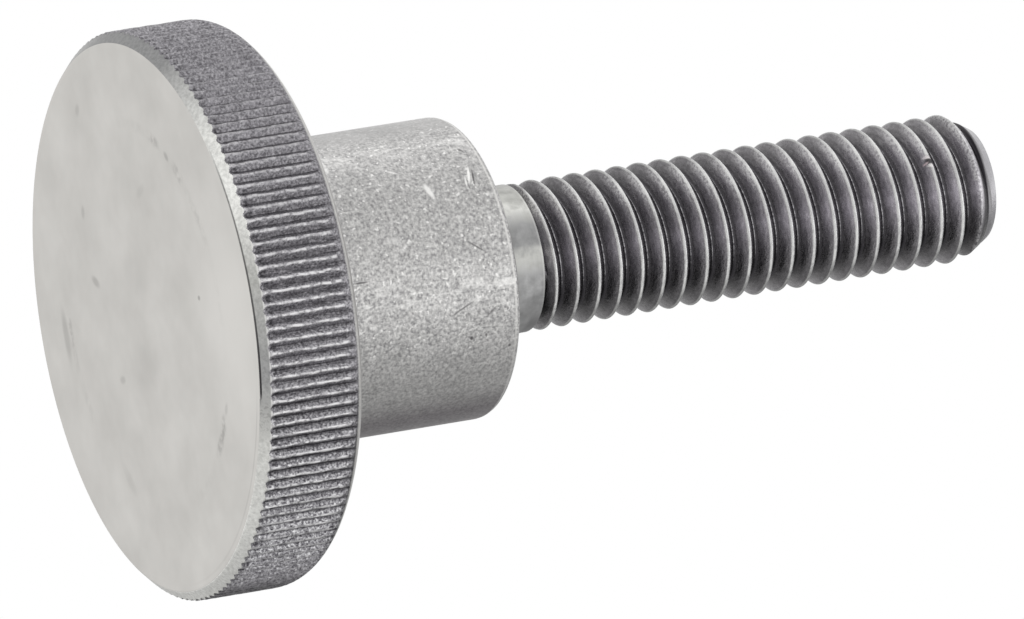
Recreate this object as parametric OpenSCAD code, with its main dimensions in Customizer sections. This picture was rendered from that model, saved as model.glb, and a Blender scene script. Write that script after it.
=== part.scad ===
// Knurled thumb screw: a flat knurled head, a plain collar under it and a threaded shank,
// all turned from one bar. It stands on the flat outer face of its head.
// +Z runs along the shank, from that face to the point of the thread. Sizes are in mm.

/* [Show] */
// sub-part to draw

/* [Head] */
// diameter over the knurl's crests
head_d = 30; // [24:0.5:40]
// thickness of the knurled disc, with its chamfer and rounded edge
head_t = 6; // [4:0.25:10]
// chamfer at the outer face, along the axis and across it
face_chamfer = 0.55; // [0.2:0.05:1]
// radius of the rounded edge at the collar side
back_round = 1.3; // [0.2:0.05:1.6]

/* [Knurl] */
// straight teeth round the rim
tooth_count = 147; // [90:1:180]
// depth of a tooth, crest to root
tooth_depth = 0.24; // [0.1:0.02:0.4]
// share of a tooth's pitch that is flat at its crest
crest_share = 0.16; // [0.05:0.01:0.35]
// share of a tooth's pitch that is flat at its root
root_share = 0.12; // [0.05:0.01:0.35]

/* [Collar] */
// diameter of the plain collar
collar_d = 16; // [12:0.5:20]
// length of the collar, from the disc to the seat
collar_len = 12; // [6:0.5:20]
// chamfer at the seat's rim, along the axis and across it
seat_chamfer = 0.35; // [0.1:0.05:0.8]

/* [Shank] */
// length of the shank, from the seat to the point
shank_len = 30; // [16:1:60]
// diameter of the plain neck, as wide as the thread
neck_d = 7.85; // [7.6:0.05:7.95]
// length of the plain neck, from the seat to the groove beyond it
neck_len = 3.2; // [1:0.1:6]
// diameter at the bottom of the groove where the first turn begins
groove_d = 7.3; // [6.4:0.1:7.5]
// length of the groove's short side, at the neck
groove_side = 0.15; // [0.05:0.05:0.5]
// diameter over the thread's crests
thread_d = 7.87; // [7.7:0.01:8]
// length of the groove's long side, where the first turn rises
lead_len = 0.25; // [0.1:0.05:1]
// diameter of the flat end of the point
point_d = 6.1; // [5:0.1:6.5]
// length of the point's taper
point_len = 1.45; // [0.8:0.05:3]

/* [Hidden] */
$fn = 180;
head_r = head_d / 2;
collar_r = collar_d / 2;
seat_z = head_t + collar_len;
tip_z = seat_z + shank_len;
thread_z = seat_z + neck_len;
tooth_a = 360 / tooth_count;
root_r = head_r - tooth_depth;
crest_a = tooth_a * crest_share / 2;
root_a = tooth_a * root_share / 2;
// the collar starts this deep inside the disc, so that the two are one solid
overlap = head_t / 2;

function at(r, a) = [r * cos(a), r * sin(a)];

// the rim's section: a flat crest, a flank, a flat root and a flank for each tooth
module knurl_section()
    polygon([for (i = [0 : tooth_count - 1]) each [
        at(head_r, i * tooth_a - crest_a),
        at(head_r, i * tooth_a + crest_a),
        at(root_r, (i + 0.5) * tooth_a - root_a),
        at(root_r, (i + 0.5) * tooth_a + root_a)]]);

// the disc's turned outline, which cuts the chamfer and the rounded edge across the teeth
module disc_profile()
    polygon([
        [0, 0],
        [head_r - face_chamfer, 0],
        [head_r, face_chamfer],
        for (a = [0 : 15 : 90])
            [head_r - back_round, head_t - back_round] + back_round * [cos(a), sin(a)],
        [0, head_t]]);

// everything beyond the disc: collar, seat, neck, groove, thread and point
module shank_profile()
    polygon([
        [0, head_t - overlap],
        [collar_r, head_t - overlap],
        [collar_r, seat_z - seat_chamfer],
        [collar_r - seat_chamfer, seat_z],
        [neck_d / 2, seat_z],
        [neck_d / 2, thread_z],
        [groove_d / 2, thread_z + groove_side],
        [thread_d / 2, thread_z + groove_side + lead_len],
        [thread_d / 2, tip_z - point_len],
        [point_d / 2, tip_z],
        [0, tip_z]]);

module thumb_screw()
    color([0.62, 0.62, 0.61])
    union() {
        intersection() {
            linear_extrude(height = head_t) knurl_section();
            rotate_extrude() disc_profile();
        }
        rotate_extrude() shank_profile();
    }

thumb_screw();
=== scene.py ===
# %% [markdown]
# # A knurled thumb screw
# This lesson dresses one turned fastener: a flat head with a knurled rim, a plain collar, a short
# neck and a rolled thread. The imported model is loaded first. It gives the true sizes and the place
# of everything.

# %% Load the imported model
import math
import bpy
import numpy as np
from mathutils import Matrix, Vector


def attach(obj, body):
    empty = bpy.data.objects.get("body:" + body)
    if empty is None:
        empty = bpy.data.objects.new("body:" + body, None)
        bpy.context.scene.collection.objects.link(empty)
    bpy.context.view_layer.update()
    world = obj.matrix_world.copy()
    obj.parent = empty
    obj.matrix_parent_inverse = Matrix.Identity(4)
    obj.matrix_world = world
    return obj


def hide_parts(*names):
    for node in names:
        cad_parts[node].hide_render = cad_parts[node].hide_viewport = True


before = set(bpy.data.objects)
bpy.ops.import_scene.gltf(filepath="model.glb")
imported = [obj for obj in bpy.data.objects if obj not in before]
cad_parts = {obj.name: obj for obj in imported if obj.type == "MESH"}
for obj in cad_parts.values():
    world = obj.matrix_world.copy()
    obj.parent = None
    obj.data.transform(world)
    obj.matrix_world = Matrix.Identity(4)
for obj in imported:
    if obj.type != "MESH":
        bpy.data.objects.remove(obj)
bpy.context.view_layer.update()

MM = 0.001

# %% [markdown]
# ## Columns round the axis
# The whole screw is one skin carried round the axis. The rim needs eight columns of points for each
# knurl tooth. The rest needs far fewer, so it has one column for every eight of the rim's, and the
# two are joined by fans on flat faces, where nothing shows. Lengths are in millimetres until the
# skin becomes a mesh.

# %% Angles of the columns
TEETH = 147
FINE = TEETH * 8
FAN = 8
COARSE = FINE // FAN
fine_angle = np.append(np.arange(FINE) * (2 * np.pi / FINE), 0.0)
coarse_angle = np.append(np.arange(COARSE) * (2 * np.pi / COARSE), 0.0)
print("columns on the rim:", FINE, "elsewhere:", COARSE)

# %% [markdown]
# ## Grid to triangles
# Each stretch of skin is a grid of points: one row for each step along the outline and one column
# for each angle, with the last column on top of the first. Splitting every cell of the grid in two
# gives triangles that face outwards as long as the outline runs from the head to the point.

# %% Helpers for grids and fans
skin = []
points_so_far = 0


def to_xyz(radius, height, angle):
    """Point (radius cos angle, radius sin angle, height) for whole arrays at once."""
    radius, height, angle = np.broadcast_arrays(radius, height, angle)
    return np.stack([radius * np.cos(angle), radius * np.sin(angle), height], -1)


def grid_faces(rows, columns):
    """Cell (row, column) becomes two triangles that share the diagonal from its first corner."""
    corner = (np.arange(rows - 1)[:, None] * columns + np.arange(columns - 1)[None, :]).ravel()
    first = np.stack([corner, corner + 1, corner + 1 + columns], -1)
    second = np.stack([corner, corner + 1 + columns, corner + columns], -1)
    return np.stack([first, second], 1).reshape(-1, 3)


def keep(points, faces, finish):
    """Files a stretch of skin away: its points, its triangles and the finish of each triangle."""
    global points_so_far
    skin.append((points.reshape(-1, 3), faces + points_so_far, np.broadcast_to(finish, (len(faces),))))
    points_so_far += points.size // 3


def keep_grid(radius, height, angle, finish):
    """A stretch of skin from radius and height on a grid of rows and columns, all in one finish."""
    points = to_xyz(radius, height, angle)
    keep(points, grid_faces(*points.shape[:2]), finish)


def keep_fan(few, many, outwards, finish):
    """Joins a ring of few points to a ring of FAN times as many: a fan at each of the few points."""
    cell, step = np.arange(COARSE)[:, None], np.arange(FAN)[None, :]
    middle = FAN // 2
    hub = np.where(step < middle, cell, cell + 1)
    fine = COARSE + 1 + cell * FAN + step
    fans = np.stack([hub, fine + 1, fine], -1).reshape(-1, 3)
    between = np.stack([cell[:, 0], cell[:, 0] + 1, fine[:, middle]], -1)
    faces = np.concatenate([fans, between])
    keep(np.concatenate([few, many]), faces if outwards else faces[:, ::-1], finish)


# %% [markdown]
# ## Smooth noise for worn metal
# Real crests are squashed and torn a little here and there. A sum of waves with seeded random
# directions and phases gives a smooth field that is the same on every run.

# %% A repeatable bumpy field
def ripple(points, wavelength, seed, waves=24):
    """Sum of cosines of (direction . point / wavelength + phase), scaled to about -1 to 1."""
    chance = np.random.default_rng(seed)
    direction = chance.normal(size=(waves, 3))
    direction /= np.linalg.norm(direction, axis=1, keepdims=True)
    phase = chance.uniform(0, 2 * np.pi, waves)
    field = np.cos(points @ direction.T * (2 * np.pi / wavelength) + phase).sum(-1)
    return field / math.sqrt(waves)


def smooth_step(value, low, high):
    """0 below low, 1 above high and 3t^2 - 2t^3 between them."""
    share = np.clip((value - low) / (high - low), 0, 1)
    return share * share * (3 - 2 * share)


# %% [markdown]
# ## The outer face
# The head's outer face is faced flat on the lathe. Its skin runs from the centre out, in rings of
# few columns, and then fans out to the rim's columns a little inside its edge.

# %% Skin of the outer face
FACE, BEVEL, KNURL, BACK, COLLAR, NECK, THREAD = range(7)
HEAD_R, HEAD_T, BEVEL_SIZE, BACK_ROUND = 15.0, 6.0, 0.55, 1.3
FAN_IN, FAN_OUT = 13.6, 14.1
face_rings = np.array([0.0, 2.0, 5.0, 8.0, 11.0, FAN_IN])
keep_grid(face_rings[:, None], 0.0, coarse_angle[None, :], FACE)
keep_fan(to_xyz(FAN_IN, 0.0, coarse_angle), to_xyz(FAN_OUT, 0.0, fine_angle), True, FACE)
print("triangles on the face:", sum(len(part[1]) for part in skin))

# %% [markdown]
# ## The knurled rim
# A straight knurl is pressed in by a toothed wheel, so its teeth run along the axis: a narrow crest,
# straight flanks at a right angle to each other, a narrow root. The turned outline is a bevel, a
# cylinder and a rounded edge, and the skin takes, at each point, the smaller of the tooth's radius
# and the outline's. The wheel cuts less deep at its ends, and crests wander and wear.

# %% Outline and teeth of the rim
TOOTH_DEPTH, CREST_SHARE, ROOT_SHARE = 0.24, 0.16, 0.12
face_edge = HEAD_R - BEVEL_SIZE
round_turn = np.radians([10, 19, 27, 34, 41, 50, 62, 75, 90])
rim_outline = np.concatenate([
    [[FAN_OUT, 0.0], [14.3, 0.0], [face_edge - 0.05, 0.0], [face_edge - 0.005, 0.008],
     [face_edge + 0.04, 0.04], [14.60, 0.15], [14.70, 0.25], [14.79, 0.34], [14.86, 0.41], [14.91, 0.46],
     [14.955, 0.505], [15.0, 0.56], [15.0, 0.64], [15.0, 0.74], [15.0, 0.86]],
    [[15.0, h] for h in np.linspace(0.86, HEAD_T - BACK_ROUND, 15)[1:]],
    np.stack([HEAD_R - BACK_ROUND + BACK_ROUND * np.cos(round_turn),
              HEAD_T - BACK_ROUND + BACK_ROUND * np.sin(round_turn)], -1)])


def tooth_height(angle, wander):
    """1 on a crest, 0 in a root: a wave of straight flanks, cut flat at both ends."""
    part = (angle * TEETH / (2 * np.pi) + wander) % 1.0
    from_crest = np.minimum(part, 1 - part)
    flank = 0.5 - CREST_SHARE / 2 - ROOT_SHARE / 2
    return 1 - np.clip((from_crest - CREST_SHARE / 2) / flank, 0, 1)


# %% [markdown]
# A lip was left where the bevel meets the face, over about an eighth of the way round: a hairline
# groove just outside the face's edge, deepest where it stops short. It is cut into the two rows of
# points there.

# %% Skin of the rim
LIP_FROM, LIP_TO = math.radians(-118), math.radians(-69)
turned, rise = rim_outline[:, :1], rim_outline[:, 1:]
signed_angle = (fine_angle + np.pi) % (2 * np.pi) - np.pi
along_lip = np.where(signed_angle < LIP_TO, smooth_step(signed_angle, LIP_FROM, LIP_TO), 0.0)[None, :]
at_lip = np.exp(-((turned - face_edge - 0.03) / 0.03) ** 2) * (rise < 0.1)
height = rise + 0.07 * at_lip * along_lip
place = to_xyz(HEAD_R, rise, fine_angle[None, :])
depth = TOOTH_DEPTH * (0.45 + 0.55 * smooth_step(rise, 0.42, 0.84))
tooth = tooth_height(fine_angle[None, :], 0.025 * ripple(place, 0.7, 21))
wear = 0.014 * np.clip(ripple(place, 0.5, 11), 0, 1.4) * tooth
pits = 0.010 * np.clip(ripple(place, 0.40, 12), 0, 1.5)
tooth_r = HEAD_R - depth * (1 - tooth) - wear - pits
radius = np.minimum(turned, tooth_r)
points = to_xyz(radius, height, fine_angle[None, :])
faces = grid_faces(*points.shape[:2])
cut = ((radius < turned - 0.002) | (turned == HEAD_R)).ravel()[faces].mean(1) > 0.5
middle_z, middle_r = points[..., 2].ravel()[faces].mean(1), radius.ravel()[faces].mean(1)
knurled = cut | ((middle_z > 4.0) & (middle_z < 5.5))
rim_finish = np.where(knurled, KNURL, np.where(middle_z < 1.0, BEVEL, BACK))
rim_finish = np.where((middle_r < face_edge - 0.004) & (middle_z < 0.3), FACE, rim_finish)
keep(points, faces, rim_finish)
print("triangles on the rim:", len(faces))

# %% [markdown]
# ## The collar and the neck
# Behind the knurl the head is flat, and the collar rises from it. Its far end is the seat, which
# bears on the clamped part, and its rim is eased. The neck below the seat is as wide as the thread,
# and it ends in a small groove, where the first turn begins.

# %% Skin of the back face, collar, seat and neck
COLLAR_R, SEAT_Z, NECK_R, NECK_END, SEAT_ROUND = 8.0, 18.0, 3.925, 21.2, 0.52
THREAD_Z, GROOVE_R = 21.35, 3.5
quarter = np.linspace(0, np.pi / 2, 6)
back_inner = 13.2
keep_fan(to_xyz(back_inner, HEAD_T, coarse_angle), to_xyz(rim_outline[-1, 0], HEAD_T, fine_angle), False,
         BACK)
back_outline = [[back_inner, HEAD_T], [11.0, HEAD_T], [8.6, HEAD_T], [8.1, HEAD_T],
                [8.03, HEAD_T + 0.03], [8.0, HEAD_T + 0.1]]
collar_outline = np.concatenate(
    [[[COLLAR_R, h] for h in np.linspace(HEAD_T + 0.1, SEAT_Z - SEAT_ROUND, 10)[:-1]],
     np.stack([COLLAR_R - SEAT_ROUND + SEAT_ROUND * np.cos(quarter),
               SEAT_Z - SEAT_ROUND + SEAT_ROUND * np.sin(quarter)], -1)])
seat_outline = [[COLLAR_R - SEAT_ROUND, SEAT_Z], [5.5, SEAT_Z], [4.12, SEAT_Z], [3.97, SEAT_Z + 0.04],
                [NECK_R, SEAT_Z + 0.12]]
neck_outline = [[NECK_R, h] for h in np.linspace(SEAT_Z + 0.12, NECK_END - 0.04, 5)]
neck_outline += [[NECK_R - 0.015, NECK_END], [NECK_R - 0.10, NECK_END + 0.05], [GROOVE_R, THREAD_Z]]
for outline, finish in ((back_outline, BACK), (collar_outline, COLLAR), (seat_outline, BACK),
                        (neck_outline, NECK)):
    outline = np.array(outline)
    keep_grid(outline[:, :1], outline[:, 1:], coarse_angle[None, :], finish)
print("triangles so far:", sum(len(part[1]) for part in skin))

# %% [markdown]
# ## The rolled thread
# The rows of this grid climb with the thread, one pitch for each turn, so a crest stays on one row
# and comes out smooth. Both ends of the climbing grid are pressed flat against a plain ring, and the
# cells that this squeezes to nothing are dropped when the skin is sewn up. The flanks are straight,
# at 30 degrees to a plane across the axis, and a hyperbola eases them into the crest and the root.

# %% Profile of the thread
PITCH, THREAD_R, THREAD_DEPTH = 1.25, 3.935, 0.78
TIP_Z, POINT_R, POINT_LEN = 48.0, 3.05, 1.45
CREST_AT = 0.88
FLANK_SLOPE = math.tan(math.radians(60)) * PITCH / THREAD_DEPTH


def eased(value, ease):
    """A smooth stand-in for max(value, 0): half of value plus the root of value^2 + ease^2."""
    return 0.5 * (value + np.sqrt(value * value + ease * ease))


def thread_height(part):
    """1 on the crest, 0 in the root, for the distance along the axis as a share of the pitch."""
    from_crest = np.abs((part + 0.5) % 1.0 - 0.5)
    return eased(1.012 - FLANK_SLOPE * eased(from_crest - 0.046, 0.046), 0.25)


# %% [markdown]
# The first turn climbs out of the groove beside the neck, and the tapered point cuts the last turns
# short.

# %% Skin of the thread and the end of the point
half_turn = np.array([0.0, 0.03, 0.065, 0.11, 0.30, 0.40, 0.47])
row_parts = np.concatenate([half_turn, 1 - half_turn[1:][::-1]])
turns = int(math.ceil((TIP_Z - THREAD_Z) / PITCH)) + 2
first_turn = math.floor((THREAD_Z - CREST_AT) / PITCH) - 1
row_z = CREST_AT + PITCH * (first_turn + np.arange(turns)[:, None] + row_parts[None, :]).ravel()
climb = PITCH * np.append(np.arange(COARSE) / COARSE, 1.0)
height = np.clip(row_z[:, None] + climb[None, :], THREAD_Z, TIP_Z)
full = THREAD_R - THREAD_DEPTH + THREAD_DEPTH * thread_height((row_z[:, None] - CREST_AT) / PITCH)
climb_out = GROOVE_R + 1.8 * (height - THREAD_Z)
radius = GROOVE_R + (np.minimum(full, climb_out) - GROOVE_R) * smooth_step(height, THREAD_Z, THREAD_Z + 0.08)
radius = np.minimum(radius, POINT_R + (THREAD_R - POINT_R) * (TIP_Z - height) / POINT_LEN)
keep_grid(radius, height, coarse_angle[None, :], THREAD)
tip_steps = np.array([1.0, 0.93, 0.6, 0.3, 0.0])
keep_grid(tip_steps[:, None] * radius[-1][None, :], TIP_Z, coarse_angle[None, :], THREAD)
print("rows on the thread:", len(row_z), "turns:", turns)

# %% [markdown]
# ## Sewing the skin
# Points that share a place become one, triangles with two corners in one place are dropped, and
# what is left is a closed shell. Counting how many triangles share each edge proves it: two each.

# %% One closed mesh
all_points = np.concatenate([part[0] for part in skin])
all_faces = np.concatenate([part[1] for part in skin])
all_finish = np.concatenate([part[2] for part in skin])
key = np.round(all_points / 1e-4).astype(np.int64)
_, first_of, place_of = np.unique(key, axis=0, return_index=True, return_inverse=True)
sewn = place_of.ravel()[all_faces]
whole = (sewn[:, 0] != sewn[:, 1]) & (sewn[:, 1] != sewn[:, 2]) & (sewn[:, 2] != sewn[:, 0])
sewn, all_finish = sewn[whole], all_finish[whole]
vertices = all_points[first_of] * MM
edges = np.sort(np.concatenate([sewn[:, [0, 1]], sewn[:, [1, 2]], sewn[:, [2, 0]]]), axis=1)
_, shared = np.unique(edges, axis=0, return_counts=True)
print("vertices:", len(vertices), "triangles:", len(sewn), "edges not shared by two:",
      int((shared != 2).sum()))

mesh = bpy.data.meshes.new("thumb_screw_turned_and_rolled")
mesh.vertices.add(len(vertices))
mesh.vertices.foreach_set("co", vertices.astype(np.float32).ravel())
mesh.loops.add(3 * len(sewn))
mesh.loops.foreach_set("vertex_index", sewn.astype(np.int32).ravel())
mesh.polygons.add(len(sewn))
mesh.polygons.foreach_set("loop_start", np.arange(0, 3 * len(sewn), 3, dtype=np.int32))
mesh.update(calc_edges=True)
mesh.validate()
mesh.set_sharp_from_angle(angle=math.radians(38))
screw = bpy.data.objects.new("thumb_screw_turned_and_rolled", mesh)
bpy.context.scene.collection.objects.link(screw)

# %% [markdown]
# ## Helpers for finishes
# A finish is a small tree of nodes. One function adds a node with its settings and links, one plugs
# a node's inputs, and one turns a hex colour, as a colour chart gives it, to linear numbers.

# %% Node and colour helpers
def linear(hex_colour, alpha=1.0):
    """Each sRGB part c becomes c / 12.92 below 0.04045 and ((c + 0.055) / 1.055) ^ 2.4 above."""
    parts = [int(hex_colour[i:i + 2], 16) / 255 for i in (1, 3, 5)]
    return tuple(c / 12.92 if c <= 0.04045 else ((c + 0.055) / 1.055) ** 2.4 for c in parts) + (alpha,)


def plug(tree, node, **links):
    """Sets a node's inputs. Each name is an input's own, with _ for a space, or its number after an
    i. It gets a value, an output, or a node, which stands for that node's first output in use."""
    for name, value in links.items():
        index = int(name[1:]) if name[1:].isdigit() else name.replace("_", " ")
        if isinstance(value, bpy.types.Node):
            value = next(output for output in value.outputs if output.enabled)
        if isinstance(value, bpy.types.NodeSocket):
            tree.links.new(value, node.inputs[index])
        else:
            node.inputs[index].default_value = value


def add(tree, kind, settings=None, **links):
    """Adds a node. settings is its operation, its properties by name, or the stops of a colour ramp.
    The links are as in plug."""
    node = tree.nodes.new("ShaderNode" + kind)
    if isinstance(settings, str):
        settings = {"operation": settings}
    for name, value in (settings or {}).items():
        if name != "stops":
            setattr(node, name, value)
            continue
        for number, (spot, colour) in enumerate(value):
            stop = node.color_ramp.elements[number] if number < 2 else node.color_ramp.elements.new(spot)
            stop.position, stop.color = spot, linear(colour)
    plug(tree, node, **links)
    return node


SMOOTH = {"interpolation_type": "SMOOTHSTEP"}
COLOURS = {"data_type": "RGBA"}
ONE_AXIS = {"noise_dimensions": "1D"}

# %% [markdown]
# Every finish here starts in the same way: a metal shader, the place of each point on the screw, and
# the same place told as a distance from the axis, an angle round it and a height along it.

# %% The start of a metal finish
def metal_finish(name):
    """A new material with a metal shader, and the place, radius, angle and height of each point."""
    material = bpy.data.materials.new(name)
    material.use_nodes = True
    tree = material.node_tree
    tree.nodes.clear()
    metal = add(tree, "BsdfPrincipled", Metallic=1.0)
    add(tree, "OutputMaterial", Surface=metal)
    place = add(tree, "TexCoord").outputs["Object"]
    parts = add(tree, "SeparateXYZ", i0=place)
    flat = add(tree, "VectorMath", "MULTIPLY", i0=place, i1=(1, 1, 0))
    radius = add(tree, "VectorMath", "LENGTH", i0=flat)
    angle = add(tree, "Math", "ARCTAN2", i0=parts.outputs[1], i1=parts.outputs[0])
    return material, tree, metal, place, radius, angle, parts.outputs[2]


def patch(tree, where, centre, half, turn=0.0, core=0.3):
    """1 in the core of an ellipse with the given centre and half sizes, falling smoothly to 0 at its rim."""
    near = add(tree, "Mapping", {"vector_type": "TEXTURE"}, Vector=where,
               Location=(centre[0] * MM, centre[1] * MM, 0), Rotation=(0, 0, math.radians(turn)),
               Scale=(half[0] * MM, half[1] * MM, 1))
    far = add(tree, "VectorMath", "LENGTH", i0=near)
    return add(tree, "MapRange", SMOOTH, Value=far, From_Min=core, From_Max=1.0, To_Min=1.0, To_Max=0.0)


def band(tree, value, middle, half, core=0.3):
    """1 where value is near middle, falling smoothly to 0 at half away from it."""
    off = add(tree, "Math", "SUBTRACT", i0=value, i1=middle)
    off = add(tree, "Math", "ABSOLUTE", i0=off)
    return add(tree, "MapRange", SMOOTH, Value=off, From_Min=core * half, From_Max=half, To_Min=1.0,
               To_Max=0.0)


def by_angle(tree, angle, stops):
    """A grey or colour for each angle: stops are (degrees, hex), from -180 to 180 round the axis."""
    share = add(tree, "MapRange", Value=angle, From_Min=-math.pi, From_Max=math.pi)
    stops = [((degrees + 180) / 360, colour) for degrees, colour in stops]
    return add(tree, "ValToRGB", {"stops": stops}, i0=share)


finishes = [None] * 7

# %% [markdown]
# ## Finish: the faced end
# Stainless steel, faced on a lathe and handled since. The tool leaves rings too fine to see one by
# one, which spread the reflection evenly, so the face looks a calm, slightly warm pale grey with a
# cloudy bloom. Rubbing against its neighbours in the bin has left a broken ring of darker scuffs
# about two thirds of the way out, and a few small marks.

# %% Stainless steel, faced
material, tree, metal, place, radius, angle, height = metal_finish("stainless_steel_faced_on_a_lathe")
bloom = add(tree, "TexNoise", Vector=place, Scale=1 / (4.5 * MM), Detail=3.0, Roughness=0.6)
ring_place = add(tree, "Math", "MULTIPLY_ADD", i0=bloom, i1=0.35 * MM, i2=radius)
rings = add(tree, "TexNoise", ONE_AXIS, W=ring_place, Scale=1 / (0.30 * MM), Detail=2.0)
fleck = add(tree, "TexNoise", Vector=place, Scale=1 / (0.45 * MM), Detail=2.0)
torn = add(tree, "MapRange", Value=fleck, From_Min=0.36, From_Max=0.60)
scuffs = by_angle(tree, angle, [
    (-180, "#000000"), (-169, "#3C3C3C"), (-160, "#505050"), (-155, "#101010"), (-150, "#C8C8C8"),
    (-146, "#181818"), (-137, "#303030"), (-133, "#C0C0C0"), (-128, "#303030"), (-116, "#787878"),
    (-105, "#202020"), (-90, "#404040"), (-76, "#101010"), (-57, "#000000"), (-54, "#B0B0B0"),
    (-45, "#B8B8B8"), (-40, "#000000"), (-31, "#404040"), (-24, "#484848"), (-16, "#000000"),
    (10, "#303030"), (19, "#000000"), (60, "#101010"), (68, "#606060"), (76, "#101010"),
    (84, "#808080"), (92, "#A0A0A0"), (95, "#101010"), (117, "#303030"), (130, "#000000")])
scuff_ring = band(tree, ring_place, (10.3 + 0.17) * MM, 0.42 * MM, 0.2)
dark = add(tree, "Math", "MULTIPLY", i0=scuffs, i1=scuff_ring)
dark = add(tree, "Math", "MULTIPLY", i0=dark, i1=torn)
for centre, half, turn, strength in (
        ((-2.3, 0.5), (1.6, 2.4), 10, 0.10), ((2.6, 0.8), (1.7, 2.6), -8, 0.10),
        ((0.2, 11.0), (1.9, 0.55), 0, 0.32), ((-2.3, 5.8), (0.35, 0.7), 30, 0.35),
        ((-6.0, 6.0), (0.5, 0.3), 20, 0.25), ((3.0, 4.3), (0.3, 0.5), 0, 0.25),
        ((-11.3, 4.5), (0.5, 0.35), 40, 0.22), ((-0.5, -7.7), (0.18, 0.22), 0, 0.55),
        ((-6.5, -2.2), (0.9, 0.35), 70, 0.10), ((5.4, -8.9), (0.5, 0.25), 35, 0.22),
        ((-8.0, -6.4), (0.45, 0.25), -40, 0.35), ((8.2, 5.6), (1.4, 0.5), -35, 0.12)):
    dark = add(tree, "Math", "MULTIPLY_ADD", i0=patch(tree, place, centre, half, turn), i1=strength,
               i2=dark)
edge_line = add(tree, "Math", "MULTIPLY", i0=band(tree, radius, 14.12 * MM, 0.10 * MM),
                i1=by_angle(tree, angle, [(-180, "#303030"), (-130, "#181818"), (-70, "#303030"),
                                          (-64, "#B0B0B0"), (-24, "#808080"), (0, "#202020"),
                                          (180, "#303030")]))
dark = add(tree, "Math", "MULTIPLY_ADD", i0=edge_line, i1=0.5, i2=dark)
tone = add(tree, "MapRange", Value=bloom, From_Min=0.3, From_Max=0.7)
pale = add(tree, "Mix", COLOURS, i0=tone, i6=linear("#C6C4C0"), i7=linear("#D0CECA"))
# Painted light: a broad patch over one side of the face is made lighter.
painted_lit_side = add(tree, "Mix", COLOURS, i0=patch(tree, place, (0.6, -11.5), (9.0, 7.0), 0, 0.0), i6=pale,
               i7=linear("#D9D7D3"))
scuffed = add(tree, "Mix", COLOURS, i0=dark, i6=painted_lit_side, i7=linear("#7C7A77"))
shine = add(tree, "MapRange", Value=bloom, From_Min=0.3, From_Max=0.7, To_Min=0.47, To_Max=0.40)
relief = add(tree, "Bump", Height=rings, Distance=0.0015 * MM)
relief = add(tree, "Bump", Height=fleck, Distance=0.003 * MM, Normal=relief)
plug(tree, metal, Base_Color=scuffed, Roughness=shine, Normal=relief)
finishes[FACE] = material
print("nodes in the face's finish:", len(tree.nodes))

# %% [markdown]
# ## Finish: the bevel
# The bevel round the face was turned by hand. Its brightness round the way is set by angle: it is
# mostly painted light and shade, bright for most of the way and dark on one side, and partly a real
# duller grey beside the lip. A dark line of painted shade lies in the lip's hairline groove, and a
# painted highlight runs along the bevel's outer edge. A fine speckle from tumbling breaks up the shine.

# %% Stainless steel, bevelled
material, tree, metal, place, radius, angle, height = metal_finish("stainless_steel_bevelled_by_hand")
speckle = add(tree, "TexNoise", Vector=place, Scale=1 / (0.20 * MM), Detail=3.0, Roughness=0.65)
# Painted light and shade, set by angle round the way, with a real duller stretch beside the lip.
level = by_angle(tree, angle, [
    (-180, "#888888"), (-150, "#949494"), (-125, "#E4E4E0"), (-110, "#ECECE8"), (-95, "#B8B8B4"),
    (-74, "#989898"), (-60, "#CCCCC8"), (-38, "#F4F4F0"), (0, "#F4F4F0"), (40, "#B4B4B0"),
    (150, "#B4B4B0"), (180, "#888888")])
grains = add(tree, "MapRange", Value=speckle, From_Min=0.35, From_Max=0.65, To_Min=0.80, To_Max=1.07)
metal_tone = add(tree, "VectorMath", "SCALE", i0=level, Scale=grains)
# Painted shade: a dark line in the lip's hairline groove, over part of the way round.
lip = add(tree, "Math", "MULTIPLY", i0=band(tree, radius, (face_edge + 0.035) * MM, 0.055 * MM),
          i1=by_angle(tree, angle, [(-180, "#000000"), (-126, "#000000"), (-114, "#D8D8D8"), (-88, "#E8E8E8"),
                                    (-69.5, "#FFFFFF"), (-68.5, "#000000"), (180, "#000000")]))
# Painted highlight: a near-white line along the bevel's outer edge, over part of the way round.
painted_edge_highlight = add(tree, "Math", "MULTIPLY", i0=band(tree, radius, 14.935 * MM, 0.06 * MM),
           i1=by_angle(tree, angle, [(-180, "#000000"), (-118, "#202020"), (-100, "#B0B0B0"),
                                     (-62, "#C0C0C0"), (-50, "#000000"), (180, "#000000")]))
edged = add(tree, "Mix", COLOURS, i0=painted_edge_highlight, i6=metal_tone, i7=linear("#F4F3F1"))
torn = add(tree, "MapRange", Value=speckle, From_Min=0.50, From_Max=0.58)
torn_here = by_angle(tree, angle, [(-180, "#000000"), (-70, "#000000"), (-67.5, "#C0C0C0"), (-63, "#B0B0B0"),
                                   (-60, "#000000"), (180, "#000000")])
torn = add(tree, "Math", "MULTIPLY", i0=torn, i1=torn_here)
edged = add(tree, "Mix", COLOURS, i0=torn, i6=edged, i7=linear("#6E6D6C"))
lined = add(tree, "Mix", COLOURS, i0=lip, i6=edged, i7=linear("#2E2C2E"))
relief = add(tree, "Bump", Height=speckle, Distance=0.012 * MM)
plug(tree, metal, Base_Color=lined, Roughness=0.36, Normal=relief)
finishes[BEVEL] = material
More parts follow.
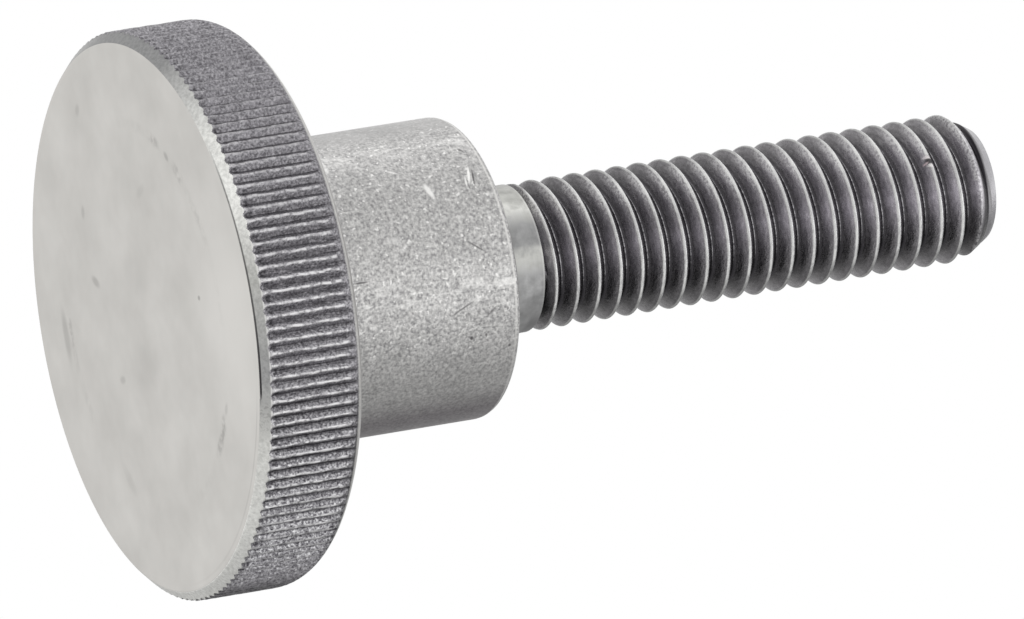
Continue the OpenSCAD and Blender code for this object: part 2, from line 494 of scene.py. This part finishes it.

# %% [markdown]
# ## Finish: the knurl
# Knurling tears steel rather than cutting it. The crests are rubbed bright and broken into short
# glints, and the flanks are rough and grainy. Light and shade are painted on by angle round the rim:
# the grain's sparkle, the flanks' brightness and the crests' highlight change round the way, and
# painted shade darkens the roots. Noise stains the shallow roots beside the bevel. Crest and root
# are told apart by the distance from the axis.

# %% Stainless steel, knurled
material, tree, metal, place, radius, angle, height = metal_finish("stainless_steel_knurled")
grit = add(tree, "TexNoise", Vector=place, Scale=1 / (0.13 * MM), Detail=2.0, Roughness=0.7)
tear = add(tree, "TexNoise", Vector=place, Scale=1 / (0.35 * MM), Detail=2.0, Roughness=0.6)
calm = add(tree, "ValToRGB", {"stops": [
    (0.30, "#615F63"), (0.44, "#7E7C80"), (0.56, "#939195"), (0.70, "#AFADB1")]}, i0=grit)
harsh = add(tree, "ValToRGB", {"stops": [
    (0.30, "#39373B"), (0.42, "#77757A"), (0.55, "#AFAEB1"), (0.70, "#EFEFF0")]}, i0=grit)
# Painted sparkle: the grain's contrast and its near-white specks are set by angle round the rim.
painted_sparkle_by_angle = by_angle(tree, angle, [(-180, "#000000"), (-125, "#101010"), (-100, "#606060"), (-75, "#808080"),
                                   (-55, "#E0E0E0"), (-30, "#FFFFFF"), (-12, "#404040"), (180, "#404040")])
tone = add(tree, "Mix", COLOURS, i0=painted_sparkle_by_angle, i6=calm, i7=harsh)
# Painted light and shade: the knurl's brightness is set by angle round the rim.
painted_light_round_rim = by_angle(tree, angle, [
    (-180, "#B8B8B8"), (-105, "#B8B8B8"), (-80, "#C8C8C8"), (-62, "#B4B4B4"), (-30, "#B4B4B4"),
    (-15, "#D0D0D0"), (-8, "#989898"), (180, "#B8B8B8")])
tone = add(tree, "VectorMath", "MULTIPLY", i0=tone, i1=painted_light_round_rim)
tone = add(tree, "VectorMath", "SCALE", i0=tone, Scale=2.05)
on_crest = add(tree, "MapRange", SMOOTH, Value=radius, From_Min=14.950 * MM, From_Max=14.990 * MM)
kept = add(tree, "MapRange", Value=tear, From_Min=0.40, From_Max=0.54, To_Min=0.2, To_Max=1.0)
rubbed_and_highlighted = add(tree, "Math", "MULTIPLY", i0=on_crest, i1=kept)
# The crests are rubbed bright; a painted highlight, set by angle, makes them brighter on part of the way
# round.
crest_highlight_by_angle = by_angle(tree, angle, [(-180, "#383838"), (-150, "#404040"), (-130, "#707070"), (-112, "#C8C8C8"),
                                 (-90, "#FFFFFF"), (-40, "#FFFFFF"), (-15, "#606060"), (180, "#606060")])
rubbed_and_highlighted = add(tree, "Math", "MULTIPLY", i0=rubbed_and_highlighted, i1=crest_highlight_by_angle)
bright = add(tree, "Mix", COLOURS, i0=rubbed_and_highlighted, i6=tone, i7=linear("#E4E3E4"))
# Painted shade: the roots are darkened, more on some parts of the way round than on others.
in_root = add(tree, "MapRange", SMOOTH, Value=radius, From_Min=14.86 * MM, From_Max=14.77 * MM,
              To_Min=0.0, To_Max=0.85)
painted_knurl_root_shade = by_angle(tree, angle, [(-180, "#101010"), (-140, "#181818"), (-125, "#404040"), (-108, "#A0A0A0"),
                               (-90, "#B0B0B0"), (-72, "#C8C8C8"), (-55, "#FFFFFF"), (-20, "#D0D0D0"),
                               (-10, "#606060"), (180, "#606060")])
in_root = add(tree, "Math", "MULTIPLY", i0=in_root, i1=painted_knurl_root_shade)
run_out = add(tree, "MapRange", SMOOTH, Value=radius, From_Min=14.95 * MM, From_Max=14.87 * MM)
run_out = add(tree, "Math", "MULTIPLY", i0=run_out, i1=band(tree, height, 0.72 * MM, 0.38 * MM))
stained = add(tree, "MapRange", Value=tear, From_Min=0.44, From_Max=0.58, To_Min=0.0, To_Max=0.8)
stained = add(tree, "Math", "MULTIPLY", i0=run_out, i1=stained)
in_root = add(tree, "Math", "MAXIMUM", i0=in_root, i1=stained)
# The painted shade in the roots and the stains beside the bevel darken the tone together.
root_shade_and_stains = add(tree, "Mix", COLOURS, i0=in_root, i6=bright, i7=linear("#39373B"))
dull = add(tree, "MapRange", Value=grit, From_Min=0.3, From_Max=0.7, To_Min=0.50, To_Max=0.30)
relief = add(tree, "Bump", Height=tear, Distance=0.04 * MM)
relief = add(tree, "Bump", Height=grit, Distance=0.025 * MM, Normal=relief)
plug(tree, metal, Base_Color=root_shade_and_stains, Roughness=dull, Normal=relief)
finishes[KNURL] = material

# %% [markdown]
# ## Finish: the back face, the rounded edge and the seat
# These were turned and left. Fine rings run round them, and they are a little duller than the face.

# %% Stainless steel, turned
material, tree, metal, place, radius, angle, height = metal_finish("stainless_steel_turned")
rings = add(tree, "TexNoise", ONE_AXIS, W=radius, Scale=1 / (0.16 * MM), Detail=3.0)
speckle = add(tree, "TexNoise", Vector=place, Scale=1 / (0.25 * MM), Detail=3.0)
both = add(tree, "Math", "ADD", i0=rings, i1=speckle)
tone = add(tree, "ValToRGB", {"stops": [(0.35, "#ABAAA8"), (0.65, "#CAC9C6")]})
half_both = add(tree, "Math", "MULTIPLY", i0=both, i1=0.5)
plug(tree, tone, i0=half_both)
relief = add(tree, "Bump", Height=both, Distance=0.006 * MM)
plug(tree, metal, Base_Color=tone, Roughness=0.38, Normal=relief)
finishes[BACK] = material

# %% [markdown]
# ## Finish: the collar
# The collar was turned and then tumbled with stones, which peen the surface all over. The dents are
# about a sixth of a millimetre across and catch the light as a fine sparkle. The sparkle is painted
# stronger on one side than the other, with painted glints there, and painted shade darkens the collar
# on the side low in the frame. A few nicks, lighter or darker than the rest, came later, in the bin.
# They are drawn on the unrolled collar: distance round it first, height second. A painted highlight
# runs along the start of the seat's rounded edge.

# %% Stainless steel, tumbled
material, tree, metal, place, radius, angle, height = metal_finish("stainless_steel_tumbled")
peened = add(tree, "TexNoise", Vector=place, Scale=1 / (0.17 * MM), Detail=2.0, Roughness=0.65)
bloom = add(tree, "TexNoise", Vector=place, Scale=1 / (2.5 * MM), Detail=3.0, Roughness=0.6)
round_it = add(tree, "Math", "MULTIPLY", i0=angle, i1=COLLAR_R * MM)
unrolled = add(tree, "CombineXYZ", i0=round_it, i1=height)
# Set by angle round the collar: in the colour it is painted sparkle, stronger on one side; it also sets how
# strong the bumps are.
much = by_angle(tree, angle, [(-180, "#303030"), (-160, "#505050"), (-152, "#D0D0D0"), (-110, "#E8E8E8"),
                              (-65, "#FFFFFF"), (-40, "#D0D0D0"), (-15, "#909090"), (60, "#B0B0B0"),
                              (150, "#B0B0B0"), (180, "#303030")])
low_tone = add(tree, "Mix", COLOURS, i0=much, i6=linear("#B6B5B4"), i7=linear("#908F90"))
high_tone = add(tree, "Mix", COLOURS, i0=much, i6=linear("#C3C2C1"), i7=linear("#E2E1DF"))
grain = add(tree, "MapRange", Value=peened, From_Min=0.31, From_Max=0.69)
tone = add(tree, "Mix", COLOURS, i0=grain, i6=low_tone, i7=high_tone)
cloud = add(tree, "MapRange", Value=bloom, From_Min=0.3, From_Max=0.7, To_Min=0.93, To_Max=1.05)
tone = add(tree, "VectorMath", "SCALE", i0=tone, Scale=cloud)
mottle = add(tree, "TexNoise", Vector=place, Scale=1 / (0.6 * MM), Detail=2.0)
mottle = add(tree, "MapRange", Value=mottle, From_Min=0.3, From_Max=0.7, To_Min=0.93, To_Max=1.07)
tone = add(tree, "VectorMath", "SCALE", i0=tone, Scale=mottle)
# Painted shade, set by angle: darker and slightly purple on the side low in the frame.
painted_collar_shade = by_angle(tree, angle, [
    (-180, "#F0F0F0"), (-130, "#F0F0F0"), (-75, "#F8F8F8"), (-38, "#FFFFFF"), (-22, "#B8B4B8"),
    (-8, "#B8B4B8"), (60, "#FFFFFF"), (180, "#FFFFFF")])
tone = add(tree, "VectorMath", "MULTIPLY", i0=tone, i1=painted_collar_shade)
# Painted glints: near-white specks over part of the way round.
glint = add(tree, "TexNoise", Vector=place, Scale=1 / (0.24 * MM), Detail=1.0)
glint = add(tree, "MapRange", Value=glint, From_Min=0.66, From_Max=0.72, To_Max=0.7)
painted_glints_here = by_angle(tree, angle, [(-180, "#202020"), (-150, "#FFFFFF"), (-60, "#FFFFFF"), (-30, "#202020"),
                                    (180, "#202020")])
glint = add(tree, "Math", "MULTIPLY", i0=glint, i1=painted_glints_here)
tone = add(tree, "Mix", COLOURS, i0=glint, i6=tone, i7=linear("#F2F1EF"))
scraped_place = add(tree, "Mapping", Vector=unrolled, Scale=(4.0, 1.0, 1.0))
scraped = add(tree, "TexNoise", Vector=scraped_place, Scale=1 / (1.6 * MM), Detail=3.0, Roughness=0.6)
scraped = add(tree, "MapRange", Value=scraped, From_Min=0.50, From_Max=0.62)
scraped_here = by_angle(tree, angle, [(-180, "#000000"), (-150, "#202020"), (-143, "#B0B0B0"),
                                      (-137, "#202020"), (-92, "#101010"), (-82, "#C0C0C0"),
                                      (-72, "#202020"), (180, "#000000")])
scraped = add(tree, "Math", "MULTIPLY", i0=scraped, i1=scraped_here)
tone = add(tree, "Mix", COLOURS, i0=scraped, i6=tone, i7=linear("#F0EFED"))
ARC = math.radians(COLLAR_R)
for colour, marks in (
        ("#F4F3F1", (((-120.6, 14.1), (0.75, 0.22), 14, 0.85), ((-125.0, 16.6), (0.80, 0.11), -17, 1.0),
                     ((-122.4, 16.30), (0.50, 0.08), -10, 0.8), ((-132.0, 12.6), (0.6, 0.10), 60, 0.5),
                     ((-141.0, 9.2), (0.9, 0.25), 0, 0.4), ((-103.0, 11.2), (0.7, 0.3), 80, 0.3))),
        ("#4B494B", (((-61.5, 15.06), (0.16, 0.13), 0, 0.9), ((-62.0, 15.9), (0.12, 0.10), 0, 0.7),
                     ((-56.0, 17.3), (0.14, 0.12), 0, 0.8), ((-89.5, 9.0), (0.08, 0.60), 0, 0.8),
                     ((-124.0, 16.80), (0.70, 0.07), -12, 0.8), ((-74.0, 14.6), (0.07, 0.9), 25, 0.6),
                     ((-138.0, 16.9), (0.35, 0.10), 30, 0.6), ((-96.0, 15.8), (0.07, 0.8), -38, 0.6),
                     ((-49.0, 13.2), (0.10, 0.08), 0, 0.6), ((-71.0, 16.2), (0.09, 0.5), 40, 0.6)))):
    for (degrees, along), half, turn, strength in marks:
        on = patch(tree, unrolled, (degrees * ARC, along), half, turn)
        share = add(tree, "Math", "MULTIPLY", i0=on, i1=strength)
        tone = add(tree, "Mix", COLOURS, i0=share, i6=tone, i7=linear(colour))
# Painted highlight: a light line where the seat's rounded edge begins.
painted_seat_edge_highlight = add(tree, "Math", "MULTIPLY", i0=band(tree, height, 17.64 * MM, 0.10 * MM), i1=cloud)
painted_seat_edge_highlight = add(tree, "Math", "MULTIPLY", i0=painted_seat_edge_highlight, i1=0.6)
tone = add(tree, "Mix", COLOURS, i0=painted_seat_edge_highlight, i6=tone, i7=linear("#E6E5E2"))
shine = add(tree, "MapRange", Value=peened, From_Min=0.3, From_Max=0.7, To_Min=0.46, To_Max=0.34)
relief = add(tree, "Bump", Strength=much, Height=peened, Distance=0.035 * MM)
plug(tree, metal, Base_Color=tone, Roughness=shine, Normal=relief)
finishes[COLLAR] = material
print("nodes in the collar's finish:", len(tree.nodes))

# %% [markdown]
# ## Finish: the neck
# The neck is the drawn bar, smooth along its length. Its brightness round the way is painted light
# and shade, set by angle, and noise mottles it and frays the edges of the lighter and darker
# stretches. Painted shade darkens its end on the side low in the frame, where the thread's groove
# begins, and a painted highlight runs along the edge at its end.

# %% Stainless steel, drawn
material, tree, metal, place, radius, angle, height = metal_finish("stainless_steel_drawn_bar")
bloom = add(tree, "TexNoise", Vector=place, Scale=1 / (0.9 * MM), Detail=3.0, Roughness=0.6)
frayed = add(tree, "MapRange", Value=bloom, From_Min=0.3, From_Max=0.7, To_Min=-0.09, To_Max=0.09)
frayed = add(tree, "Math", "ADD", i0=angle, i1=frayed)
# Painted light and shade: the neck's brightness is set by angle round the way.
level = by_angle(tree, frayed, [
    (-180, "#ACACA8"), (-140, "#ACACA8"), (-125, "#CCCCC8"), (-113, "#9C9C9C"), (-100, "#9C9C9C"),
    (-88, "#B8B8B4"), (-72, "#9C9C9C"), (-55, "#B8B8B8"), (-25, "#B4B4B4"), (-8, "#888888"),
    (30, "#B0B0AC"), (180, "#B0B0AC")])
smear = add(tree, "MapRange", Value=bloom, From_Min=0.35, From_Max=0.65, To_Min=0.78, To_Max=1.12)
tone = add(tree, "VectorMath", "SCALE", i0=level, Scale=smear)
lines = add(tree, "TexNoise", ONE_AXIS, W=height, Scale=1 / (0.10 * MM), Detail=2.0)
lines = add(tree, "MapRange", Value=lines, From_Min=0.3, From_Max=0.7, To_Min=0.98, To_Max=1.02)
tone = add(tree, "VectorMath", "SCALE", i0=tone, Scale=lines)
# Painted shade: the end of the neck is darkened where the groove begins, on the side low in the frame.
painted_shade_at_neck_end = add(tree, "MapRange", SMOOTH, Value=height, From_Min=20.45 * MM, From_Max=20.75 * MM)
painted_shade_at_neck_end = add(tree, "Math", "MULTIPLY", i0=painted_shade_at_neck_end, i1=by_angle(tree, frayed, [(-180, "#000000"),
                                                                               (-40, "#000000"),
                                                                               (-28, "#B0B0B0"),
                                                                               (-5, "#B0B0B0"),
                                                                               (20, "#000000"),
                                                                               (180, "#000000")]))
tone = add(tree, "Mix", COLOURS, i0=painted_shade_at_neck_end, i6=tone, i7=linear("#454448"))
# Painted highlight: a light line along the edge at the neck's end, over part of the way round.
painted_neck_end_highlight = add(tree, "Math", "MULTIPLY", i0=band(tree, height, 21.15 * MM, 0.08 * MM),
               i1=by_angle(tree, angle, [(-180, "#202020"), (-135, "#808080"), (-60, "#808080"),
                                         (-40, "#101010"), (180, "#202020")]))
tone = add(tree, "Mix", COLOURS, i0=painted_neck_end_highlight, i6=tone, i7=linear("#E6E5E3"))
relief = add(tree, "Bump", Height=bloom, Distance=0.02 * MM)
plug(tree, metal, Base_Color=tone, Roughness=0.34, Normal=relief)
finishes[NECK] = material

# %% [markdown]
# ## Finish: the rolled thread
# Rolling dies squeeze the thread up and leave it smooth and hard, with streaks that run along the
# flanks. The crests, where the metal met from both sides, are rubbed bright. Steep flanks reflect
# each other, which darkens them, and painted shade darkens the grooves further. Light and shade are
# also painted on by angle round the thread, with painted highlights on the shoulders, crests and
# roots, and the tone is made lighter towards the tip.

# %% Stainless steel, thread rolled
material, tree, metal, place, radius, angle, height = metal_finish("stainless_steel_thread_rolled")
streak_place = add(tree, "Mapping", Vector=place, Scale=(1.0, 1.0, 5.0))
streaks = add(tree, "TexNoise", Vector=streak_place, Scale=1 / (0.45 * MM), Detail=3.0, Roughness=0.7)
fine = add(tree, "TexNoise", Vector=place, Scale=1 / (0.15 * MM), Detail=2.0)
turned_by = add(tree, "Math", "MULTIPLY", i0=angle, i1=-1 / (2 * math.pi))
turns_up = add(tree, "Math", "MULTIPLY_ADD", i0=height, i1=1 / (PITCH * MM), i2=turned_by)
phase = add(tree, "Math", "SUBTRACT", i0=turns_up, i1=CREST_AT / PITCH)
phase = add(tree, "Math", "FRACT", i0=phase)
tone = add(tree, "ValToRGB", {"stops": [
    (0.32, "#8C898E"), (0.5, "#A09DA2"), (0.68, "#B4B1B6")]}, i0=streaks)
# The tone is made lighter towards the tip.
lighter_towards_tip = add(tree, "MapRange", Value=height, From_Min=28 * MM, From_Max=44 * MM, To_Min=0.94, To_Max=1.3)
tone = add(tree, "VectorMath", "SCALE", i0=tone, Scale=lighter_towards_tip)
# Painted shade in the grooves: the tone is raised near the crest and lowered towards the root.
lighter_up_the_flank = add(tree, "MapRange", SMOOTH, Value=radius, From_Min=3.48 * MM, From_Max=3.76 * MM,
                 To_Min=1.0, To_Max=1.45)
tone = add(tree, "VectorMath", "SCALE", i0=tone, Scale=lighter_up_the_flank)
painted_groove_shade = add(tree, "MapRange", Value=radius, From_Min=3.20 * MM, From_Max=3.45 * MM, To_Min=0.50,
                 To_Max=0.92)
tone = add(tree, "VectorMath", "SCALE", i0=tone, Scale=painted_groove_shade)
# Painted light and shade: the thread's brightness is set by angle round the way.
painted_light_round_thread = by_angle(tree, angle, [
    (-180, "#A8A8A8"), (-155, "#B8B8B8"), (-140, "#DCDCDC"), (-105, "#D8D8D8"), (-85, "#F4F4F4"),
    (-60, "#C8C8C8"), (-38, "#808080"), (-20, "#808080"), (0, "#A8A8A8"), (180, "#B4B4B4")])
tone = add(tree, "VectorMath", "MULTIPLY", i0=tone, i1=painted_light_round_thread)
# Painted highlight: a light band on the shoulder before each crest, strongest over part of the way round and
# broken by noise.
shoulder = add(tree, "MapRange", SMOOTH, Value=phase, From_Min=0.72, From_Max=0.93)
painted_shoulder_highlight = by_angle(tree, angle, [(-180, "#101010"), (-163, "#404040"), (-148, "#C8C8C8"), (-125, "#F8F8F8"),
                                 (-110, "#909090"), (-92, "#404040"), (-60, "#303030"), (-40, "#404040"),
                                 (-20, "#101010"), (180, "#000000")])
shoulder = add(tree, "Math", "MULTIPLY", i0=shoulder, i1=painted_shoulder_highlight)
broken = add(tree, "MapRange", Value=fine, From_Min=0.42, From_Max=0.56, To_Min=0.15, To_Max=1.0)
shoulder = add(tree, "Math", "MULTIPLY", i0=shoulder, i1=broken)
tone = add(tree, "Mix", COLOURS, i0=shoulder, i6=tone, i7=linear("#E8E7E9"))
# The crests are rubbed bright, and how bright is set by angle round the way: a painted highlight.
on_crest = add(tree, "MapRange", SMOOTH, Value=radius, From_Min=3.835 * MM, From_Max=3.90 * MM)
glints = add(tree, "MapRange", Value=streaks, From_Min=0.38, From_Max=0.55, To_Min=0.6, To_Max=1.0)
on_crest = add(tree, "Math", "MULTIPLY", i0=on_crest, i1=glints)
crest_wear_and_highlight = by_angle(tree, angle, [
    (-180, "#A4A4A4"), (-135, "#FCFCFC"), (-100, "#E0E0E0"), (-60, "#F8F8F8"), (-45, "#ECECEC"),
    (-30, "#A8A8A8"), (180, "#A4A4A4")])
tone = add(tree, "Mix", COLOURS, i0=on_crest, i6=tone, i7=crest_wear_and_highlight)
# Painted shade: a dark band in each root.
painted_thread_root_shade = band(tree, phase, 0.50, 0.16, 0.4)
painted_thread_root_shade = add(tree, "Math", "MULTIPLY", i0=painted_thread_root_shade, i1=0.75)
tone = add(tree, "Mix", COLOURS, i0=painted_thread_root_shade, i6=tone, i7=linear("#3F3D41"))
# Painted highlight: a thin light line in the root, broken into dashes, over part of the way round.
dashes = add(tree, "MapRange", Value=fine, From_Min=0.40, From_Max=0.52, To_Min=0.3, To_Max=1.0)
painted_root_highlight = add(tree, "Math", "MULTIPLY", i0=band(tree, phase, 0.470, 0.032, 0.6), i1=dashes)
before_point = add(tree, "Math", "LESS_THAN", i0=height, i1=46.85 * MM)
painted_root_highlight = add(tree, "Math", "MULTIPLY", i0=painted_root_highlight, i1=before_point)
painted_root_highlight = add(tree, "Math", "MULTIPLY", i0=painted_root_highlight,
                i1=by_angle(tree, angle, [(-180, "#000000"), (-150, "#303030"), (-115, "#E0E0E0"),
                                          (-60, "#B8B8B8"), (-45, "#101010"), (180, "#000000")]))
tone = add(tree, "Mix", COLOURS, i0=painted_root_highlight, i6=tone, i7=linear("#F0EFF1"))
duller = add(tree, "MapRange", SMOOTH, Value=height, From_Min=46.1 * MM, From_Max=46.5 * MM, To_Min=1.0,
             To_Max=0.78)
tone = add(tree, "VectorMath", "SCALE", i0=tone, Scale=duller)
worn = add(tree, "MapRange", Value=fine, From_Min=0.42, From_Max=0.54)
worn_here = add(tree, "MapRange", SMOOTH, Value=radius, From_Min=3.55 * MM, From_Max=3.80 * MM)
worn = add(tree, "Math", "MULTIPLY", i0=worn, i1=worn_here)
worn = add(tree, "Math", "MULTIPLY", i0=worn, i1=band(tree, height, 46.66 * MM, 0.36 * MM, 0.5))
worn = add(tree, "Math", "MULTIPLY", i0=worn, i1=0.5)
tone = add(tree, "Mix", COLOURS, i0=worn, i6=tone, i7=linear("#E4E3E5"))
# Painted shade: a dark line in the last groove before the point.
painted_last_groove_shade = add(tree, "MapRange", SMOOTH, Value=radius, From_Min=3.72 * MM, From_Max=3.55 * MM,
                  To_Max=0.9)
painted_last_groove_shade = add(tree, "Math", "MULTIPLY", i0=painted_last_groove_shade,
                  i1=band(tree, height, 47.22 * MM, 0.30 * MM, 0.7))
painted_last_groove_shade = add(tree, "Math", "MULTIPLY", i0=painted_last_groove_shade,
                  i1=by_angle(tree, angle, [(-180, "#A0A0A0"), (-155, "#B8B8B8"), (-135, "#FFFFFF"),
                                            (180, "#FFFFFF")]))
tone = add(tree, "Mix", COLOURS, i0=painted_last_groove_shade, i6=tone, i7=linear("#2B292D"))
end_band = add(tree, "MapRange", SMOOTH, Value=height, From_Min=47.42 * MM, From_Max=47.55 * MM,
               To_Max=0.8)
tone = add(tree, "Mix", COLOURS, i0=end_band, i6=tone, i7=linear("#B8B7BA"))
round_it = add(tree, "Math", "MULTIPLY", i0=angle, i1=THREAD_R * MM)
unrolled = add(tree, "CombineXYZ", i0=round_it, i1=height)
THREAD_ARC = math.radians(THREAD_R)
for (degrees, along), half, turn, strength, colour in (
        ((-113.0, 44.20), (0.48, 0.34), 0, 0.9, "#2F2B2F"),
        ((-109.2, 44.26), (0.15, 0.34), -30, 1.0, "#FFFBFC"),
        ((-117.0, 44.16), (0.12, 0.30), -30, 1.0, "#F4EEF0"),
        ((-112.6, 44.02), (0.09, 0.16), 10, 0.9, "#E4D2D6")):
    on = patch(tree, unrolled, (degrees * THREAD_ARC, along), half, turn)
    share = add(tree, "Math", "MULTIPLY", i0=on, i1=strength)
    tone = add(tree, "Mix", COLOURS, i0=share, i6=tone, i7=linear(colour))
shine = add(tree, "MapRange", Value=fine, From_Min=0.3, From_Max=0.7, To_Min=0.34, To_Max=0.24)
relief = add(tree, "Bump", Height=streaks, Distance=0.015 * MM)
relief = add(tree, "Bump", Height=fine, Distance=0.012 * MM, Normal=relief)
plug(tree, metal, Base_Color=tone, Roughness=shine, Normal=relief)
finishes[THREAD] = material

# %% Give every triangle its finish
for material in finishes:
    mesh.materials.append(material)
mesh.polygons.foreach_set("material_index", all_finish.astype(np.int32))
mesh.update()
print("finishes:", [material.name for material in finishes])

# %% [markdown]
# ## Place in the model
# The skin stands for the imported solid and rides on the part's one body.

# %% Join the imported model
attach(screw, "root")
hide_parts("thumb_screw")

# %% [markdown]
# ## The camera
# The screw's axis leans away from the line of sight by axis_tilt and rises to the right by
# axis_rise. Those two angles, the distance, the scale at the outer face and the place of that face's
# centre in the frame fix the camera. The screw stands on its head, so the camera is the thing that
# is turned: it sits low, beside the head, and lies on its side.

# %% Camera
FRAME_W, FRAME_H, SENSOR_MM = 1024, 619, 36.0
axis_tilt, axis_rise = math.radians(66.467), math.radians(9.229)
camera_distance = 0.9764
pixels_per_mm = 19.223
face_centre_px = (144.546, 317.755)
side_facing_camera = math.radians(86.016)

axis_dir = np.array([math.sin(axis_tilt) * math.cos(axis_rise),
                     math.sin(axis_tilt) * math.sin(axis_rise), -math.cos(axis_tilt)])
up_dir = np.array([0.0, 1.0, 0.0]) - axis_dir * axis_dir[1]
up_dir /= np.linalg.norm(up_dir)
side_dir = np.cross(axis_dir, up_dir)
quarter_turn = -math.pi / 2 - side_facing_camera
turn = np.array([[math.cos(quarter_turn), -math.sin(quarter_turn), 0],
                 [math.sin(quarter_turn), math.cos(quarter_turn), 0], [0, 0, 1]])
to_model = turn @ np.array([up_dir, side_dir, axis_dir])
focal_px = pixels_per_mm * camera_distance / MM
face_centre = np.array([(face_centre_px[0] - FRAME_W / 2) * camera_distance / focal_px,
                        -(face_centre_px[1] - FRAME_H / 2) * camera_distance / focal_px,
                        -camera_distance])
camera_data = bpy.data.cameras.new("camera")
camera_data.sensor_fit = "HORIZONTAL"
camera_data.sensor_width = SENSOR_MM
camera_data.lens = SENSOR_MM * focal_px / FRAME_W
camera_data.clip_start, camera_data.clip_end = 0.01, 10.0
camera = bpy.data.objects.new("camera", camera_data)
pose = np.eye(4)
pose[:3, :3] = to_model
pose[:3, 3] = to_model @ -face_centre
camera.matrix_world = Matrix(pose.tolist())
bpy.context.scene.collection.objects.link(camera)
bpy.context.scene.camera = camera
print("lens in mm:", round(camera_data.lens, 1), "camera at:", np.round(pose[:3, 3], 3))

# %% [markdown]
# ## Floor
# The floor is a plain pale sheet under the head. It shows to the camera and in the metal from above,
# and lets light and sight through from below, so that the outer face can be lit and seen there as if
# the screw were held up.

# %% Floor
floor_size, floor_z = 0.9, -0.02 * MM
corners = [(-floor_size, -floor_size), (floor_size, -floor_size), (floor_size, floor_size),
           (-floor_size, floor_size)]
floor_mesh = bpy.data.meshes.new("floor")
floor_mesh.from_pydata([(x, y, floor_z) for x, y in corners], [], [(0, 1, 2, 3)])
floor = bpy.data.objects.new("floor", floor_mesh)
bpy.context.scene.collection.objects.link(floor)
floor_finish = bpy.data.materials.new("pale_studio_floor")
floor_finish.use_nodes = True
tree = floor_finish.node_tree
tree.nodes.clear()
rays = add(tree, "LightPath").outputs
far = add(tree, "Math", "GREATER_THAN", i0=rays["Ray Length"], i1=8 * MM)
mirrored = add(tree, "Math", "MULTIPLY", i0=rays["Is Glossy Ray"], i1=far)
sees = add(tree, "Math", "MAXIMUM", i0=rays["Is Camera Ray"], i1=mirrored)
behind = add(tree, "NewGeometry").outputs["Backfacing"]
front = add(tree, "Math", "SUBTRACT", i0=1.0, i1=behind)
shown = add(tree, "Math", "MULTIPLY", i0=sees, i1=front)
clear = add(tree, "BsdfTransparent")
sheet = add(tree, "BsdfDiffuse", Color=linear("#F4F4F2"))
both = add(tree, "MixShader", i0=shown, i1=clear, i2=sheet)
add(tree, "OutputMaterial", Surface=both)
floor_mesh.materials.append(floor_finish)

# %% [markdown]
# ## Light
# A soft white dome stands all round, and falls to grey only on the side that is low in the frame, so
# that the round metal has something to turn away from. Metal shows the dome as it is. The plain
# rays that light the floor get a little less of it, which keeps the floor from clipping. A camera
# ray that misses the screw sees plain white.

# %% Dome of light
world = bpy.data.worlds.new("studio")
bpy.context.scene.world = world
world.use_nodes = True
tree = world.node_tree
tree.nodes.clear()
heading = add(tree, "TexCoord").outputs["Generated"]
darkest_way = to_model @ np.array([0.20, -0.85, -0.48])
lean = add(tree, "VectorMath", "DOT_PRODUCT", i0=heading, i1=tuple(darkest_way))
level = add(tree, "MapRange", SMOOTH, Value=lean, From_Min=0.28, From_Max=0.85, To_Min=1.0, To_Max=0.45)
rays = add(tree, "LightPath").outputs
glossy = add(tree, "Math", "MAXIMUM", i0=rays["Is Glossy Ray"], i1=rays["Is Transmission Ray"])
share = add(tree, "MapRange", Value=glossy, To_Min=0.85, To_Max=1.0)
strength = add(tree, "Math", "MULTIPLY", i0=level, i1=share)
dome = add(tree, "Background", Color=(1, 1, 1, 1), Strength=strength)
plain = add(tree, "Background", Color=(1, 1, 1, 1), Strength=1.0)
both = add(tree, "MixShader", i0=rays["Is Camera Ray"], i1=dome, i2=plain)
add(tree, "OutputWorld", Surface=both)

# %% [markdown]
# Three large soft lamps lay broad highlights along the screw: one high in the frame and behind, one
# to the right, and one over the point of the thread.

# %% Lamps
COLLAR_CENTRE = Vector((0, 0, 0.02))


def soft_lamp(name, direction, distance, size, brightness):
    """A square lamp at direction times distance from the collar, facing it, of the given radiance."""
    data = bpy.data.lights.new(name, "AREA")
    data.shape = "SQUARE"
    data.size = size
    data.energy = brightness * math.pi * size * size
    lamp = bpy.data.objects.new(name, data)
    towards = Vector(direction).normalized()
    lamp.location = COLLAR_CENTRE + towards * distance
    lamp.rotation_mode = "QUATERNION"
    lamp.rotation_quaternion = towards.to_track_quat("Z", "Y")
    lamp.visible_camera = False
    bpy.context.scene.collection.objects.link(lamp)


soft_lamp("lamp_high", to_model @ [0.13, 0.92, -0.37], 0.40, 0.22, 0.45)
soft_lamp("lamp_right", to_model @ [0.75, -0.09, 0.66], 0.40, 0.20, 0.35)
soft_lamp("lamp_over_point", (0.15, -0.1, 1.0), 0.45, 0.20, 0.5)

# %% [markdown]
# ## Colour handling
# Colours are shown as they are, with no film curve.

# %% Finish
bpy.context.scene.view_settings.view_transform = "Standard"
